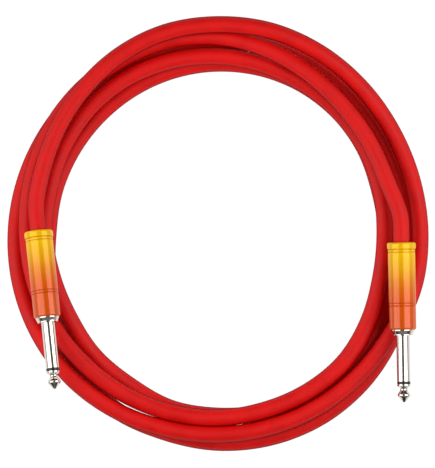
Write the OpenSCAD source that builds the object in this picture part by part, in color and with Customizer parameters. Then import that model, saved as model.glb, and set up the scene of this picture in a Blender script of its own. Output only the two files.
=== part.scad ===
// Instrument cable: a 2.5 m signal lead wound in a ring four and a half turns round, with a
// straight 6.35 mm two-pole plug on each end. Each plug's painted barrel unscrews from the
// plug body and slides back over the cable, and its clear insulating sleeve slides with it.
// Millimetres, +Z up. The ring lies flat on z = 0 and both plug tips point toward -Y.

/* [Cable] */
// Diameter over the red jacket
cable_d = 8; // [6:0.1:9]
// Wall of the PVC jacket
jacket_wall = 1.3; // [0.8:0.1:1.5]
// Thickness of the braided copper shield
braid_wall = 0.4; // [0.2:0.1:0.6]
// Thickness of the conductive layer under the shield
conductive_wall = 0.8; // [0.4:0.1:0.9]
// Diameter of the stranded core wire
core_wire_d = 0.9; // [0.5:0.1:1.2]

/* [Coil] */
// Radius of the ring's middle circle
ring_r = 90; // [80:1:140]
// Room between two strands that lie side by side
lane_room = 0.5; // [0.45:0.05:1.5]
// Room between two layers of strands
layer_room = 0.6; // [0.5:0.05:1.5]
// Depth of the flat that the strands' weight presses into the underside
flat_depth = 0.8; // [0.4:0.1:1]
// Straight run of cable held out behind each barrel
held_run = 5.5; // [5.2:0.1:8]
// Straight run of the wound part before it meets the held run
lead_run = 8; // [8:0.5:12]

/* [Barrel] */
// Length from the rear face to the front face
barrel_len = 41.2; // [38:0.1:50]
// Wall of the barrel round its bore
barrel_wall = 1.05; // [0.9:0.05:2]
// Thickness of the rear wall round the cable hole
rear_wall = 2.5; // [1.5:0.1:3]
// Room between the cable and the rear hole, all round
hole_room = 0.3; // [0.2:0.05:0.5]
// Length of the raised bead at the rear
bead_len = 3.1; // [2:0.1:5]
// Height of the bead over the barrel
bead_step = 0.35; // [0.2:0.05:0.6]
// Radius of the bead's rear edge
bead_round = 0.9; // [0.3:0.1:1.5]
// Distance of the front pair of grooves behind the front face
front_groove_back = 11.4; // [8:0.1:20]
// Distance between the two grooves of a pair
groove_pitch = 1.3; // [0.8:0.1:2]
// Width of a groove
groove_w = 0.4; // [0.2:0.05:0.7]
// Depth of a groove
groove_depth = 0.2; // [0.1:0.05:0.4]
// Fall of the front part's radius below the barrel's
front_step = 0.1; // [0.05:0.05:0.3]
// Length of the rounded nose
nose_len = 1.2; // [0.6:0.1:3]
// Width of the flat land left round the bore at the front face
nose_land = 0.3; // [0.25:0.05:0.6]

/* [Fits] */
// Room between the lug and the insulating sleeve
lug_room = 0.33; // [0.3:0.01:0.6]
// Room between the cable and its clamp
clamp_room = 0.02; // [0.01:0.01:0.05]
// Room between the insulating sleeve and the barrel's bore
sleeve_room = 0.1; // [0.05:0.01:0.1]
// Room between the threaded boss and the barrel's bore
thread_room = 0.08; // [0.04:0.01:0.1]
// Room left lengthwise at each end of the insulating sleeve
end_room = 0.3; // [0.2:0.05:0.6]
// Room between the insulator tube and the plug body's bore
tube_room = 0.05; // [0.02:0.01:0.1]

/* [Plug body] */
// Diameter of the plug shaft
shaft_d = 6.35; // [6.3:0.01:6.4]
// Length of the plug from the collar to the end of the tip
finger_len = 31.75; // [30:0.05:33]
// Length of the black insulating ring
ring_len = 1.2; // [0.8:0.1:1.5]
// Length of the tip in front of the ring
tip_len = 8.7; // [8:0.1:9.5]
// Length of the tip's base, which is flush with the shaft
tip_base_len = 1.1; // [0.8:0.1:1.5]
// Largest diameter of the tip's ball
tip_d = 6.2; // [5.8:0.05:6.3]
// Length of the collar in front of the barrel
collar_len = 2.6; // [1.5:0.1:4]
// Height of the collar's rear rim over the barrel's bore
collar_rim = 0.2; // [0.1:0.05:0.3]
// Diameter of the collar at its front
collar_front_d = 9.6; // [8:0.1:10]
// Length of the threaded boss inside the barrel
boss_len = 5.6; // [5.2:0.1:8]

/* [Inside the plug] */
// Diameter of the tip rod
rod_d = 2.2; // [1.8:0.1:2.6]
// Wall of the insulator tube round the rod
tube_wall = 1; // [0.6:0.05:1.2]
// Thickness of the sleeve's wall
sleeve_wall = 0.35; // [0.25:0.05:0.6]
// Thickness of the ground lug's ring
lug_ring = 0.8; // [0.5:0.1:1.2]
// Wall of the ground lug's strap and cable clamp
lug_wall = 0.6; // [0.4:0.05:0.7]
// Angle that the strap spans round the axis
strap_angle = 54; // [40:1:80]
// Angle that the cable clamp spans round the axis
clamp_angle = 260; // [220:5:300]
// Length of the cable clamp
clamp_len = 6; // [4:0.5:7]
// Distance of the cable clamp from the rear face
clamp_back = 8; // [6:0.5:10]
// Thickness of the rear insulating washer
washer_len = 1.5; // [1:0.1:2.5]
// Diameter of the rear insulating washer
washer_d = 7.4; // [6.5:0.1:7.6]
// Thickness of the tip lug
tip_lug_wall = 0.6; // [0.4:0.1:0.8]
// Length of the tip lug's tab
tab_len = 6.7; // [5:0.1:9]
// Width of the tip lug's tab
tab_w = 2.6; // [2.2:0.1:3]
// Diameter of the riveted end of the rod
rivet_d = 3.2; // [2.8:0.1:3.3]
// Length of the riveted end of the rod
rivet_len = 0.5; // [0.3:0.1:0.8]
// Length of jacket in front of the clamp
jacket_out = 1; // [0.5:0.1:2]
// Length of braid in front of the jacket
braid_out = 1; // [0.5:0.1:1.5]
// Length of the conductive layer in front of the braid
conductive_out = 0.5; // [0.3:0.1:1]
// Diameter of the twisted shield pigtail
pigtail_d = 1.6; // [1.2:0.1:1.8]
// Length of the twisted shield pigtail
pigtail_len = 6; // [5:0.5:8]
// Radius of a solder joint
solder_r = 1.4; // [1.35:0.05:1.5]

/* [Lay of the plugs] */
// How far the left plug's tip leans toward the right
left_lean = 6; // [0:0.5:8]
// How far the left plug's tip tilts up from the table
left_tilt = 8; // [6:0.5:9]
// How far the right plug's tip leans toward the right
right_lean = 1; // [0:0.5:3]
// How far the left plug's rear face lies up the ring from its middle
left_rear_y = 1; // [-10:0.1:10]
// How far the right plug's rear face lies up the ring from its middle
right_rear_y = -4.2; // [-10:0.1:10]
// Room under the left plug's rear bead
left_rest_room = 0.25; // [0.2:0.05:1]
// Room under the right plug's rear bead
right_rest_room = 0.45; // [0.4:0.05:1]

/* [Hidden] */
$fn = 64;
jacket_red = "#d2221f";
nickel = "#c9c6c0";
brass = "#b98f3c";

// The cable's layers, from the jacket inward.
braid_d = cable_d - 2 * jacket_wall;
conductive_d = braid_d - 2 * braid_wall;
insulation_d = conductive_d - 2 * conductive_wall;

// The plug grows outward from the cable: clamp, sleeve, bore, barrel.
strap_r = cable_d / 2 + clamp_room;
lug_r = strap_r + lug_wall;
sleeve_id = 2 * (lug_r + lug_room);
sleeve_od = sleeve_id + 2 * sleeve_wall;
bore_d = sleeve_od + 2 * sleeve_room;
barrel_d = bore_d + 2 * barrel_wall;
bead_d = barrel_d + 2 * bead_step;
boss_d = bore_d - 2 * thread_room;
tube_d = rod_d + 2 * tube_wall;
shaft_bore_d = tube_d + 2 * tube_room;

// Stations along a plug's own axis, from the barrel's rear face toward the tip.
boss_z = barrel_len - boss_len;
collar_z = barrel_len + collar_len;
tip_z = collar_z + finger_len - tip_len;
ring_z = tip_z - ring_len;
lug_z = boss_z - lug_ring;
washer_z = lug_z - washer_len;
tip_lug_z = washer_z - tip_lug_wall;
tab_z = washer_z - tab_len;
jacket_z = clamp_back + clamp_len + jacket_out;
braid_z = jacket_z + braid_out;
conductive_z = braid_z + conductive_out;
solder_z = tab_z + solder_r;
wire_z = solder_z + 1.2 * solder_r;
insulation_z = tab_z - 0.8;
pigtail_z = braid_z + pigtail_len;
tab_y = rivet_d / 2 + 0.15;
pigtail_y = -(cable_d - pigtail_d) / 2;

// The coil: strands lie in lanes beside each other and in layers over each other.
lane = cable_d + lane_room;
layer = cable_d + layer_room;
rest_z = cable_d / 2 - flat_depth;
rings_per_turn = 24;
sides = 6;
middle_x = -0.6;
middle_y = -0.1;
middle = [middle_x, middle_y, 0];

// How far out a strand lies, in lanes from the middle circle. Angles run clockwise from the
// left and on through the turns.
lanes = [
    [10, -0.31], [85, 0.99], [100, 1.06], [160, 0.66], [218, 0.79], [276, 0.78], [313, 0.75],
    [415, 0.3], [438, 0], [468, 0.16], [518, -0.11], [604, 1.12], [618, 1.11], [653, 0.77],
    [728, -1.28], [756, -1.34], [849, -1.02], [874, -1.11], [894, -1.25], [945, -0.09],
    [960, -0.02], [988, -0.46], [997, -0.47], [1022, -0.89], [1057, -1.21], [1082, -1.04],
    [1136, -0.62], [1227, -1.04], [1264, -1.25], [1315, -0.47], [1370, -0.36], [1429, 0.01],
    [1489, 0.37], [1514, 0.46], [1588, -0.68], [1605, -0.66]
];
// How high a strand lies, in layers over the lowest one.
lifts = [
    [30, 2.06], [102, 2.06], [160, 1], [309, 1], [360, 0], [1013, 0], [1066, 1], [1362, 1],
    [1402, 1.33], [1440, 0.94], [1465, 1.02], [1508, 1.02], [1566, 1.97], [1590, 2.02],
    [1605, 2.23]
];

function smooth(s) = s * s * (3 - 2 * s);
function eased(keys, a, i = 0) =
    a <= keys[0][0] ? keys[0][1]
    : i >= len(keys) - 1 ? keys[len(keys) - 1][1]
    : a <= keys[i + 1][0]
        ? keys[i][1] + (keys[i + 1][1] - keys[i][1])
            * smooth((a - keys[i][0]) / (keys[i + 1][0] - keys[i][0]))
    : eased(keys, a, i + 1);

// Centre of the wound strand at an angle.
function strand(a) = let (r = ring_r + lane * eased(lanes, a))
    middle + [r * cos(180 - a), r * sin(180 - a), rest_z + layer * eased(lifts, a)];

// A plug lies on the layers of strands under its bead: [rear face centre, lean, tilt].
left_plug = [
    middle + [-ring_r + 0.7 * lane, left_rear_y,
              rest_z + layer + cable_d / 2 + bead_d / 2 + left_rest_room],
    left_lean, left_tilt
];
right_plug = [
    middle + [ring_r - 0.33 * lane, right_rear_y,
              rest_z + layer + cable_d / 2 + bead_d / 2 + right_rest_room],
    right_lean, 0
];
function plug_axis(p) =
    [sin(p[1]) * cos(p[2]), -cos(p[1]) * cos(p[2]), sin(p[2])];
function behind(p, run) = p[0] - run * plug_axis(p);

route = concat(
    [behind(left_plug, held_run), behind(left_plug, held_run + lead_run)],
    [for (a = [30 : 360 / rings_per_turn : 1605]) strand(a)],
    [behind(right_plug, held_run + lead_run), behind(right_plug, held_run)]
);
last = len(route) - 1;

// Each ring of the tube stands square to the route; the two end rings are square to their
// plug's axis.
function unit(v) = v / norm(v);
function heading(i) =
    i == 0 ? -plug_axis(left_plug)
    : i == last ? plug_axis(right_plug)
    : unit(unit(route[i + 1] - route[i]) + unit(route[i] - route[i - 1]));
function across(i) = unit(cross(heading(i), [0, 0, 1]));
function upward(i) = cross(across(i), heading(i));
tube_points = [
    for (i = [0 : last], k = [0 : sides - 1])
        let (a = 360 * k / sides)
        route[i] + cable_d / 2 * (cos(a) * across(i) + sin(a) * upward(i))
];
tube_faces = concat(
    [for (k = [1 : sides - 2]) [0, k, k + 1]],
    [for (i = [0 : last - 1], k = [0 : sides - 1], half = [0, 1])
        let (a = i * sides + k, b = i * sides + (k + 1) % sides,
             c = a + sides, d = b + sides)
        half == 0 ? [a, d, b] : [a, c, d]],
    [for (k = [1 : sides - 2]) [last * sides, last * sides + k + 1, last * sides + k]]
);

// Least room between two passes of the coil, measured between the route's straight steps.
function clip(v) = min(1, max(0, v));
function step_gap(p, q, r, s) = let (
        u = q - p, v = s - r, w = p - r,
        a = u * u, b = u * v, c = v * v, d = u * w, e = v * w,
        m = a * c - b * b,
        s0 = m > 1e-9 ? clip((b * e - c * d) / m) : 0,
        t = clip((b * s0 + e) / c),
        s1 = clip((b * t - d) / a)
    ) norm(w + s1 * u - t * v);
least_gap = min([
    for (i = [0 : last - 9]) min([
        for (j = [i + 8 : last - 1])
            step_gap(route[i], route[i + 1], route[j], route[j + 1])
    ])
]) - cable_d;
wound_len = [for (i = 0, s = 0; i < last; s = s + norm(route[i + 1] - route[i]), i = i + 1) s
    + norm(route[i + 1] - route[i])][last - 1];
echo(wound_length = wound_len, cable_length = wound_len + 2 * (held_run + jacket_z));
echo(least_gap_of_coil_to_itself = least_gap);

module lay(p) translate(p[0]) rotate([90 - p[2], 0, p[1]]) children();

module pipe(od, id, z0, z1) translate([0, 0, z0]) difference() {
    cylinder(d = od, h = z1 - z0);
    translate([0, 0, -1]) cylinder(d = id, h = z1 - z0 + 2);
}

// Sector that opens a pipe's wall, centred on the +Y side of the axis.
module opening(r0, r1, angle, z0, z1) translate([0, 0, z0])
    rotate([0, 0, 90 - angle / 2])
        rotate_extrude(angle = angle) translate([r0, 0]) square([r1 - r0, z1 - z0]);

// The wound lead: one unbroken tube, flattened where it rests on the table.
module cable_coil() color(jacket_red) difference() {
    polyhedron(points = tube_points, faces = tube_faces, convexity = 12);
    translate([-2 * ring_r, -2 * ring_r, -cable_d]) cube([4 * ring_r, 4 * ring_r, cable_d]);
}

// Turned barrel with a rounded rear bead, two pairs of fine grooves and a rounded nose.
module barrel() {
    br = bead_d / 2;
    r = barrel_d / 2;
    fr = r - front_step;
    nr = bore_d / 2 + nose_land;
    g0 = bead_len;
    g1 = barrel_len - front_groove_back - groove_pitch;
    n0 = barrel_len - nose_len;
    color("#f2a23c") difference() {
        rotate_extrude() polygon(concat(
            [[0, 0]],
            [for (a = [0 : 15 : 90])
                [br - bead_round + bead_round * sin(a), bead_round - bead_round * cos(a)]],
            [[br, bead_len - bead_step / 2], [br - bead_step / 2, bead_len]],
            [for (g = [g0, g0 + groove_pitch], e = [[0, 0], [0, 1], [1, 1], [1, 0]])
                [r - e[1] * groove_depth, g + e[0] * groove_w]],
            [for (g = [g1, g1 + groove_pitch], e = [[0, 0], [0, 1], [1, 1], [1, 0]])
                [r - e[1] * groove_depth - (g > g1 && e[0] > 0 && e[1] == 0 ? front_step : 0),
                 g + e[0] * groove_w]],
            [for (a = [0 : 15 : 90])
                [nr + (fr - nr) * cos(a), n0 + nose_len * sin(a)]],
            [[0, barrel_len]]
        ));
        translate([0, 0, -1]) cylinder(d = cable_d + 2 * hole_room, h = rear_wall + 2);
        translate([0, 0, rear_wall]) cylinder(d = bore_d, h = barrel_len);
    }
}

// Clear tube that keeps the lugs away from the barrel.
module insulating_sleeve() color("#e8eef0", 0.5)
    pipe(sleeve_od, sleeve_id, rear_wall + end_room, boss_z - end_room);

// Plug body in one piece: threaded boss, collar and shaft, bored through.
module plug_shaft() color(nickel) difference() {
    rotate_extrude() polygon([
        [0, boss_z], [boss_d / 2 - 0.4, boss_z], [boss_d / 2, boss_z + 0.4],
        [boss_d / 2, barrel_len], [bore_d / 2 + collar_rim, barrel_len],
        [bore_d / 2 + collar_rim, barrel_len + 0.5],
        [(bore_d / 2 + collar_rim + collar_front_d / 2) / 2, barrel_len + collar_len / 2],
        [collar_front_d / 2, collar_z - 0.4], [collar_front_d / 2, collar_z],
        [shaft_d / 2, collar_z], [shaft_d / 2, ring_z], [0, ring_z]
    ]);
    translate([0, 0, boss_z - 1]) cylinder(d = shaft_bore_d, h = ring_z - boss_z + 2);
}

// Black ring in front of the shaft with a tube that runs back through the bore.
module tip_insulator() color("#1d1b1a") difference() {
    union() {
        translate([0, 0, ring_z]) cylinder(d = shaft_d, h = ring_len);
        translate([0, 0, lug_z]) cylinder(d = tube_d, h = ring_z - lug_z + 0.1);
    }
    translate([0, 0, lug_z - 1]) cylinder(d = rod_d, h = tip_z - lug_z + 2);
}

// Tip contact: the turned tip and its long rod, riveted over behind the tip lug.
module tip_contact() color(nickel) rotate_extrude() polygon(concat(
    [[0, tip_lug_z - rivet_len], [rivet_d / 2 - 0.2, tip_lug_z - rivet_len],
     [rivet_d / 2, tip_lug_z - rivet_len + 0.2], [rivet_d / 2, tip_lug_z],
     [rod_d / 2, tip_lug_z], [rod_d / 2, tip_z],
     [shaft_d / 2, tip_z], [shaft_d / 2, tip_z + tip_base_len]],
    [for (p = [[0.88, 0.04], [0.55, 0.08], [0.53, 0.2], [0.6, 0.31], [0.82, 0.34],
               [0.95, 0.4], [1, 0.49], [0.96, 0.6], [0.27, 0.94], [0.16, 0.99], [0, 1]])
        [p[0] * tip_d / 2, tip_z + tip_base_len + p[1] * (tip_len - tip_base_len)]]
));

// Ground lug: a ring behind the boss, a strap back along the cable and a clamp round it.
module ground_lug() color(brass) difference() {
    translate([0, 0, clamp_back]) cylinder(r = lug_r, h = boss_z - clamp_back);
    translate([0, 0, clamp_back - 1]) cylinder(r = strap_r, h = lug_z - clamp_back + 1);
    translate([0, 0, lug_z - 1]) cylinder(d = shaft_bore_d, h = lug_ring + 2);
    opening(cable_d / 4, lug_r + 1, 360 - strap_angle, clamp_back + clamp_len, lug_z);
    opening(cable_d / 4, lug_r + 1, 360 - clamp_angle, clamp_back - 1,
            clamp_back + clamp_len + 1);
}

module rear_insulator() color("#9c7a4a") pipe(washer_d, rod_d, washer_z, lug_z);

// Tip lug: a ring under the rivet with a solder tab that runs back beside the axis.
module tip_lug() color(brass) {
    pipe(2 * (tab_y + tip_lug_wall), rod_d, tip_lug_z, washer_z);
    translate([-tab_w / 2, tab_y, tab_z]) cube([tab_w, tip_lug_wall, washer_z - tab_z]);
}

module cable_end() color(jacket_red) pipe(cable_d, braid_d, -held_run, jacket_z);
module shield_braid() color("#b8683c") pipe(braid_d, conductive_d, -held_run, braid_z);
module conductive_layer() color("#2b2a29")
    pipe(conductive_d, insulation_d, -held_run, conductive_z);
module core_insulation() color("#efe9dc")
    pipe(insulation_d, core_wire_d, -held_run, insulation_z);
module core_wire() color("#c07a45") translate([0, 0, -held_run])
    cylinder(d = core_wire_d, h = wire_z + held_run);

module shield_pigtail() color("#b8683c") translate([0, pigtail_y, braid_z])
    cylinder(d = pigtail_d, h = pigtail_len);

module tip_solder() color("#a9adb0") difference() {
    translate([0, tab_y - 1, solder_z]) sphere(r = solder_r);
    translate([0, 0, insulation_z]) cylinder(d = core_wire_d, h = wire_z - insulation_z);
    translate([-tab_w, tab_y, tab_z - 1]) cube([2 * tab_w, 2, 4 * solder_r]);
}

module ground_solder() color("#a9adb0") difference() {
    translate([0, -cable_d / 2 + 1, pigtail_z - 0.6]) sphere(r = solder_r);
    translate([0, pigtail_y, braid_z]) cylinder(d = pigtail_d, h = pigtail_len);
    translate([0, 0, braid_z]) difference() {
        cylinder(r = lug_r + solder_r, h = pigtail_len + 2 * solder_r);
        translate([0, 0, -1]) cylinder(r = strap_r, h = pigtail_len + 2 * solder_r + 2);
    }
}

module left_barrel() lay(left_plug) barrel();
module left_insulating_sleeve() lay(left_plug) insulating_sleeve();
module left_plug_shaft() lay(left_plug) plug_shaft();
module left_tip_insulator() lay(left_plug) tip_insulator();
module left_tip_contact() lay(left_plug) tip_contact();
module left_ground_lug() lay(left_plug) ground_lug();
module left_rear_insulator() lay(left_plug) rear_insulator();
module left_tip_lug() lay(left_plug) tip_lug();
module left_cable_end() lay(left_plug) cable_end();
module left_shield_braid() lay(left_plug) shield_braid();
module left_conductive_layer() lay(left_plug) conductive_layer();
module left_core_insulation() lay(left_plug) core_insulation();
module left_core_wire() lay(left_plug) core_wire();
module left_shield_pigtail() lay(left_plug) shield_pigtail();
module left_tip_solder() lay(left_plug) tip_solder();
module left_ground_solder() lay(left_plug) ground_solder();

module right_barrel() lay(right_plug) barrel();
module right_insulating_sleeve() lay(right_plug) insulating_sleeve();
module right_plug_shaft() lay(right_plug) plug_shaft();
module right_tip_insulator() lay(right_plug) tip_insulator();
module right_tip_contact() lay(right_plug) tip_contact();
module right_ground_lug() lay(right_plug) ground_lug();
module right_rear_insulator() lay(right_plug) rear_insulator();
module right_tip_lug() lay(right_plug) tip_lug();
module right_cable_end() lay(right_plug) cable_end();
module right_shield_braid() lay(right_plug) shield_braid();
module right_conductive_layer() lay(right_plug) conductive_layer();
module right_core_insulation() lay(right_plug) core_insulation();
module right_core_wire() lay(right_plug) core_wire();
module right_shield_pigtail() lay(right_plug) shield_pigtail();
module right_tip_solder() lay(right_plug) tip_solder();
module right_ground_solder() lay(right_plug) ground_solder();

cable_coil();
left_barrel();
left_insulating_sleeve();
left_plug_shaft();
left_tip_insulator();
left_tip_contact();
left_ground_lug();
left_rear_insulator();
left_tip_lug();
left_cable_end();
left_shield_braid();
left_conductive_layer();
left_core_insulation();
left_core_wire();
left_shield_pigtail();
left_tip_solder();
left_ground_solder();
right_barrel();
right_insulating_sleeve();
right_plug_shaft();
right_tip_insulator();
right_tip_contact();
right_ground_lug();
right_rear_insulator();
right_tip_lug();
right_cable_end();
right_shield_braid();
right_conductive_layer();
right_core_insulation();
right_core_wire();
right_shield_pigtail();
right_tip_solder();
right_ground_solder();
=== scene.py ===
"""Instrument cable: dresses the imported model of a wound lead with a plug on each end.

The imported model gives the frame: every piece here lies where its CAD node lies, in
metres. Sizes inside the classes are in millimetres, as on a workshop drawing, and
MM turns them to metres where a mesh or a material is written.
"""

import logging
import math
import sys
from dataclasses import dataclass, field, replace
from enum import Enum
from functools import partial
from typing import Iterable, Sequence

import bmesh
import bpy
import numpy as np
from mathutils import Matrix, Vector


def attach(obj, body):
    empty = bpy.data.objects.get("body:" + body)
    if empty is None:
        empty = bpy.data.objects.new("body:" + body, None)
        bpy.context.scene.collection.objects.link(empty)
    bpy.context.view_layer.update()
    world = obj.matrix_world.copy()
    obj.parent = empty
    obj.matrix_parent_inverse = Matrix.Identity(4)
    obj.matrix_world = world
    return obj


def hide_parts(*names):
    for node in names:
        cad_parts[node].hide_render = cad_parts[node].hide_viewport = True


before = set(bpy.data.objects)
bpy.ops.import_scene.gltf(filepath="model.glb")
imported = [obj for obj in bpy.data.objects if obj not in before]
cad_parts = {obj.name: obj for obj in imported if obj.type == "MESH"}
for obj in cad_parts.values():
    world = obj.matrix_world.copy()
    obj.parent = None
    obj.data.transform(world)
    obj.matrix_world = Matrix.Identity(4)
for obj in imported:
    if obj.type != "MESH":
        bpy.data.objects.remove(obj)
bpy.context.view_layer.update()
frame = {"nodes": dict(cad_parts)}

MM = 0.001
log = logging.getLogger("instrument_cable")

Pair = tuple[float, float]
Colour = tuple[float, float, float, float]
Socket = bpy.types.NodeSocket

# Where soft noise mostly lies between 0 and 1.
NOISE: Pair = (0.3, 0.7)
# A profile's point nearer to the axis than this many millimetres lies on it.
ON_AXIS = 1e-6
# Facets round a turned piece, and on each rounded corner of its outline.
AROUND = 96
ROUND_STEPS = 3
# A corner's round takes at most this share of each side.
ROUND_SHARE = 0.45
# Edges sharper than this many degrees stay sharp.
CREASE = 32.0
# The radius in millimetres of a strand's helix that runs straight along the middle.
STRAIGHT = 0.001


class Side(Enum):
    """The two ends of the lead, named as they lie when seen from above."""

    LEFT = "left"
    RIGHT = "right"


class Hand(Enum):
    """The way a helix turns."""

    RIGHT_HAND = False
    LEFT_HAND = True


# ---------------------------------------------------------------------------
# Colours, nodes and objects
# ---------------------------------------------------------------------------


def srgb(code: str) -> Colour:
    """Turns an sRGB hex colour to Blender's linear colour.

    Args:
        code: Six hex digits with a leading hash.

    Returns:
        Linear red, green and blue, and a full alpha.
    """
    parts = (int(code[i : i + 2], 16) / 255 for i in (1, 3, 5))
    red, green, blue = (
        c / 12.92 if c <= 0.04045 else ((c + 0.055) / 1.055) ** 2.4 for c in parts
    )
    return (red, green, blue, 1.0)


def add(
    tree: bpy.types.NodeTree,
    kind: str,
    settings: dict | None = None,
    links: dict | None = None,
) -> bpy.types.Node:
    """Adds one node to a tree, with its settings and the links into it.

    Args:
        tree: The material, world or geometry tree.
        kind: Blender's name for the kind of node.
        settings: Socket names or numbers and node properties, with their values. The
            word stops gives a colour ramp's places and colours.
        links: Socket names or numbers, with the output sockets that feed them.

    Returns:
        The new node.
    """
    node = tree.nodes.new(kind)
    settings = dict(settings or {})
    for key in [k for k in settings if isinstance(k, str) and hasattr(node, k)]:
        setattr(node, key, settings.pop(key))
    stops = settings.pop("stops", None)
    if stops:
        elements = node.color_ramp.elements
        while len(elements) < len(stops):
            elements.new(0.5)
        for element, (place, colour) in zip(elements, stops):
            element.position, element.color = place, colour
    for key, value in settings.items():
        node.inputs[key].default_value = value
    for key, source in (links or {}).items():
        tree.links.new(source, node.inputs[key])
    return node


def emptied(owner: bpy.types.Material | bpy.types.World) -> bpy.types.NodeTree:
    """Gives a material or a world an empty node tree.

    Args:
        owner: The material or the world.

    Returns:
        Its tree.
    """
    owner.use_nodes = True
    owner.node_tree.nodes.clear()
    return owner.node_tree


def linked(name: str, data: bpy.types.ID) -> bpy.types.Object:
    """Makes an object and puts it in the scene.

    Args:
        name: Its name.
        data: Its mesh, camera or light.

    Returns:
        The object.
    """
    made = bpy.data.objects.new(name, data)
    bpy.context.scene.collection.objects.link(made)
    return made


# ---------------------------------------------------------------------------
# Finishes
# ---------------------------------------------------------------------------


@dataclass
class Shading:
    """A material in the making, with the steps that the finishes repeat."""

    made: bpy.types.Material
    shader: bpy.types.Node

    def node(
        self, kind: str, settings: dict | None = None, links: dict | None = None
    ) -> bpy.types.Node:
        """Adds a node to the material's own tree."""
        return add(self.made.node_tree, kind, settings, links)

    def place(self, name: str) -> Socket:
        """One of the texture coordinates: Object, or UV."""
        return self.node("ShaderNodeTexCoord").outputs[name]

    def noise(self, size: float, detail: float) -> Socket:
        """Soft noise on Object coordinates.

        Args:
            size: How wide its patches are, in millimetres.
            detail: The number of its finer layers.

        Returns:
            The noise.
        """
        settings = {"Scale": 1 / (size * MM), "Detail": detail}
        where = {"Vector": self.place("Object")}
        return self.node("ShaderNodeTexNoise", settings, where).outputs["Fac"]

    def drawn_noise(
        self, name: str, scale: tuple[float, float, float], detail: float
    ) -> Socket:
        """Soft noise drawn out along an axis.

        Args:
            name: The coordinates that it reads: Object or UV.
            scale: How many patches lie in one unit of each axis.
            detail: The number of its finer layers.

        Returns:
            The noise.
        """
        links = {"Vector": self.place(name)}
        drawn = self.node("ShaderNodeMapping", {"Scale": scale}, links)
        settings = {"Scale": 1.0, "Detail": detail}
        where = {"Vector": drawn.outputs["Vector"]}
        return self.node("ShaderNodeTexNoise", settings, where).outputs["Fac"]

    def spread(
        self, value: Socket, seen: Pair = (0.0, 1.0), given: Pair = (0.0, 1.0)
    ) -> Socket:
        """Maps one range of a value to another and holds it there.

        Args:
            value: What is read.
            seen: The low and high end of what is read.
            given: What comes out at those ends.

        Returns:
            The mapped value.
        """
        names = ("From Min", "From Max", "To Min", "To Max")
        ends = dict(zip(names, (*seen, *given)))
        return self.node("ShaderNodeMapRange", ends, {"Value": value}).outputs["Result"]

    def facing(self) -> Socket:
        """0 where the surface faces the eye, near 1 where it is seen along its face."""
        return self.node("ShaderNodeLayerWeight", {"Blend": 0.5}).outputs["Facing"]

    def reckon(self, operation: str, *values: Socket | float) -> Socket:
        """Does one sum.

        Args:
            operation: Blender's name for it.
            values: Its inputs in order, sockets or plain numbers.

        Returns:
            The result.
        """
        links = {i: v for i, v in enumerate(values) if isinstance(v, Socket)}
        settings = {i: v for i, v in enumerate(values) if i not in links}
        settings["operation"] = operation
        return self.node("ShaderNodeMath", settings, links).outputs["Value"]

    def ramp(self, value: Socket, stops: Iterable[tuple[float, str]]) -> Socket:
        """Turns a value to a colour.

        Args:
            value: What is read, from 0 to 1.
            stops: Places from 0 to 1 with their sRGB hex colours.

        Returns:
            The colour.
        """
        colours = {"stops": [(at, srgb(code)) for at, code in stops]}
        return self.node("ShaderNodeValToRGB", colours, {"Fac": value}).outputs["Color"]

    def mixed(
        self, colour: Socket, other: str, share: Socket, way: str = "MIX"
    ) -> Socket:
        """Mixes a plain colour into another.

        Args:
            colour: The colour at a share of 0.
            other: The sRGB hex colour that is mixed in.
            share: How much of it.
            way: Blender's name for the way of mixing.

        Returns:
            The mixed colour.
        """
        settings = {"data_type": "RGBA", "blend_type": way, "B": srgb(other)}
        links = {"A": colour, "Factor": share}
        return self.node("ShaderNodeMix", settings, links).outputs[2]

    def relief(
        self, height: Socket, strength: float, depth: float, normal: str = "Normal"
    ) -> None:
        """Gives the surface, or its coat, a fine relief.

        Args:
            height: The relief.
            strength: Its share, from 0 to 1.
            depth: Its full depth in millimetres.
            normal: The shader's input that it goes to.
        """
        settings = {"Strength": strength, "Distance": depth * MM}
        bump = self.node("ShaderNodeBump", settings, {"Height": height})
        self.feed({normal: bump.outputs["Normal"]})

    def feed(self, sources: dict[str, Socket | float | tuple]) -> None:
        """Feeds the shader's inputs.

        Args:
            sources: Each input's name, with a socket to link or a plain value to set.
        """
        for name, source in sources.items():
            target = self.shader.inputs[name]
            if isinstance(source, Socket):
                self.made.node_tree.links.new(source, target)
            else:
                target.default_value = source


@dataclass(frozen=True)
class Finish:
    """What every finish has: a name, a slot and plain shader numbers."""

    name: str
    slot: str
    colour: str
    roughness: float
    metallic: float = 0.0
    ior: float = 1.5

    def start(self) -> Shading:
        """Makes the material with its shader.

        Returns:
            The material in the making.
        """
        made = bpy.data.materials.new(self.name)
        made.diffuse_color = srgb(self.colour)
        tree = emptied(made)
        settings = {
            "Base Color": srgb(self.colour),
            "Roughness": self.roughness,
            "Metallic": self.metallic,
        }
        if not self.metallic:
            settings["IOR"] = self.ior
        shader = add(tree, "ShaderNodeBsdfPrincipled", settings)
        add(tree, "ShaderNodeOutputMaterial", links={"Surface": shader.outputs["BSDF"]})
        return Shading(made, shader)

    def make(self) -> bpy.types.Material:
        """Returns the finished material."""
        return self.start().made


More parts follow.
